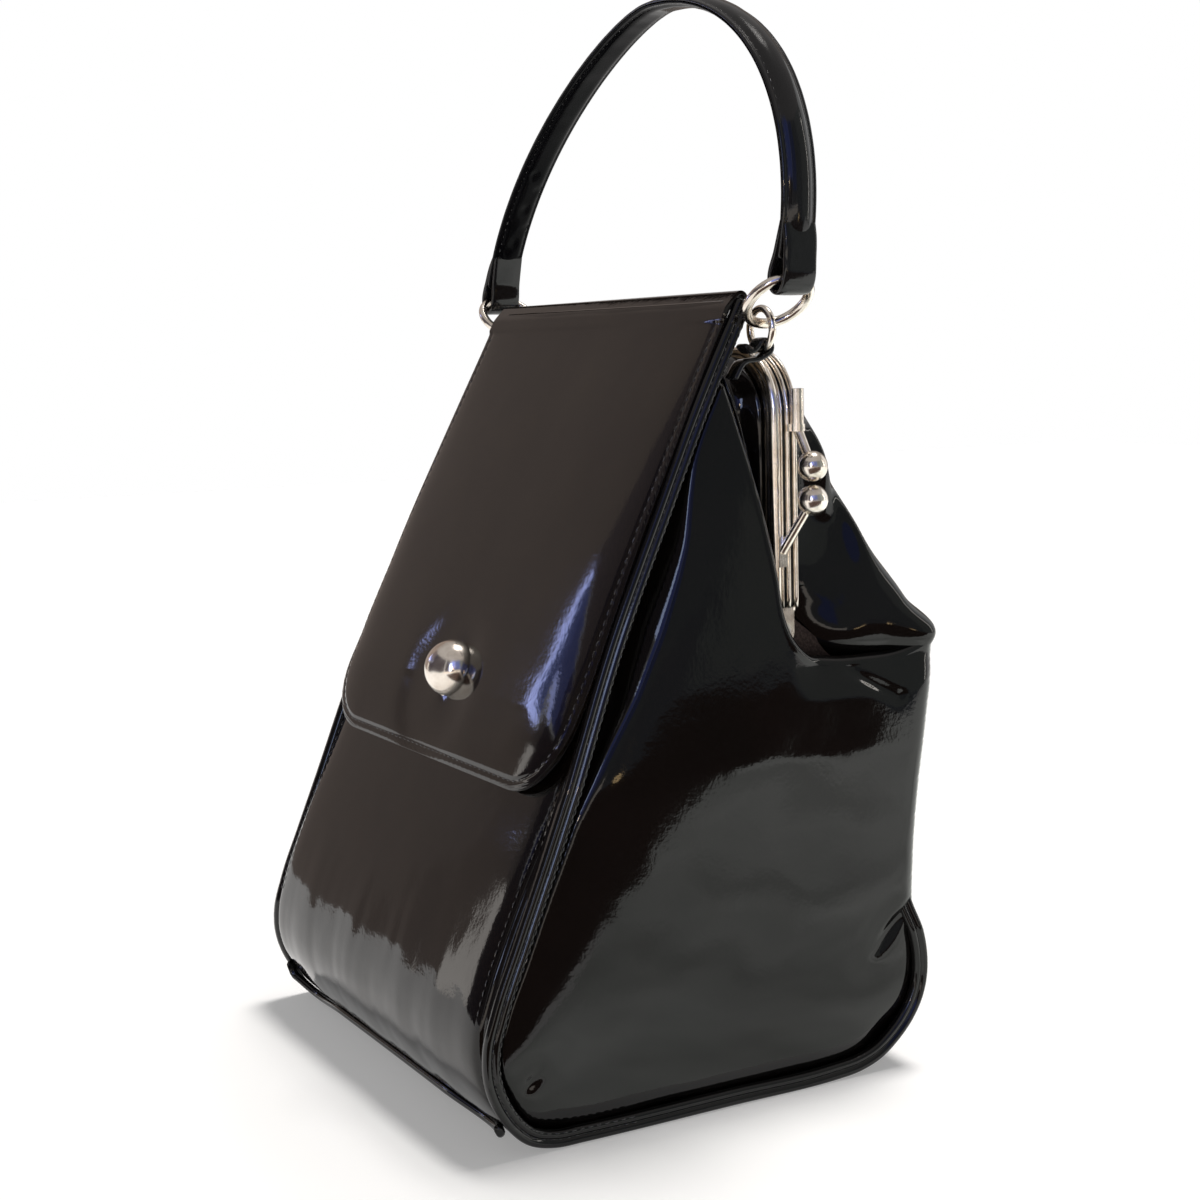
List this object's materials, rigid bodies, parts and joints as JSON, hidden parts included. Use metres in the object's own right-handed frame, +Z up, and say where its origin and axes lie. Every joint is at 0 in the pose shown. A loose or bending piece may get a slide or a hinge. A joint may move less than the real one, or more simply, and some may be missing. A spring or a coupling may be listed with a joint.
{
  "type": "top handle handbag",
  "caption": "Patent handbag with a leaning front panel, a snap-flap pocket, a clasp frame that opens backwards and an arched strap handle on rings.",
  "frame": {"origin": "middle of the base, on the surface that the bag stands on", "axes": "+X to the clasp's side, +Y to the back, +Z up; the front panel faces -Y"},
  "size_m": [0.2132, 0.1728, 0.357],
  "materials": {
    "patent": "high-gloss black patent, smooth",
    "rim": "high-gloss black patent, turned seam",
    "backing": "satin black backing leather",
    "lining": "matte dark twill",
    "board": "matte pressed fibre board",
    "core": "matte strap filler",
    "nickel": "polished nickel with a warm tint and fine wear",
    "steel": "plain plated steel"
  },
  "bodies": {
    "bag": {"outer_wrap": "patent", "front_board": "board", "base_board": "board", "right_gusset": "patent", "left_gusset": "patent", "right_rim": "rim", "left_rim": "rim", "front_yoke": "patent", "lining": "lining", "pocket_front": "patent", "pocket_strip": "patent", "snap_stud": "steel", "snap_washer": "steel", "front_frame": "nickel", "right_rivet": "steel", "left_rivet": "steel", "front_clasp": "nickel", "right_tab": "patent", "left_tab": "patent"},
    "flap": {"flap_face": "patent", "flap_backing": "backing", "snap_cap": "nickel", "snap_socket": "steel"},
    "rear_half": {"rear_frame": "nickel", "rear_clasp": "nickel", "rear_yoke": "patent", "right_web": "patent", "left_web": "patent"},
    "handle": {"handle_strap": "patent", "handle_core": "core"},
    "right_ring": {"right_ring": "nickel"},
    "left_ring": {"left_ring": "nickel"},
    "right_link": {"right_link": "nickel"},
    "left_link": {"left_link": "nickel"}
  },
  "joints": [
    {"name": "flap_hinge", "type": "hinge", "parent": "bag", "child": "flap", "pos_m": [0, 0.01459, 0.25823], "axis": [-1, 0, 0], "range_deg": [0, 110]},
    {"name": "frame_hinge", "type": "hinge", "parent": "bag", "child": "rear_half", "pos_m": [0, 0.0285, 0.15], "axis": [-1, 0, 0], "range_deg": [0, 50]},
    {"name": "handle_swing", "type": "hinge", "parent": "bag", "child": "handle", "pos_m": [0, 0.02, 0.2415], "axis": [-1, 0, 0], "range_deg": [-3, 80]},
    {"name": "right_link_swing", "type": "hinge", "parent": "bag", "child": "right_link", "pos_m": [0.084, 0.02, 0.2415], "axis": [-1, 0, 0], "range_deg": [-3, 80]},
    {"name": "left_link_swing", "type": "hinge", "parent": "bag", "child": "left_link", "pos_m": [-0.084, 0.02, 0.2415], "axis": [-1, 0, 0], "range_deg": [-3, 80]},
    {"name": "right_ring_turn", "type": "hinge", "parent": "handle", "child": "right_ring", "pos_m": [0.1007, 0.02, 0.26183], "axis": [0, 1, 0], "range_deg": [-6, 1]},
    {"name": "left_ring_turn", "type": "hinge", "parent": "handle", "child": "left_ring", "pos_m": [-0.1007, 0.02, 0.26183], "axis": [0, -1, 0], "range_deg": [-6, 1]}
  ],
  "couplings": [
    {"joint": "right_link_swing", "follows": "handle_swing", "ratio": 1},
    {"joint": "left_link_swing", "follows": "handle_swing", "ratio": 1}
  ]
}
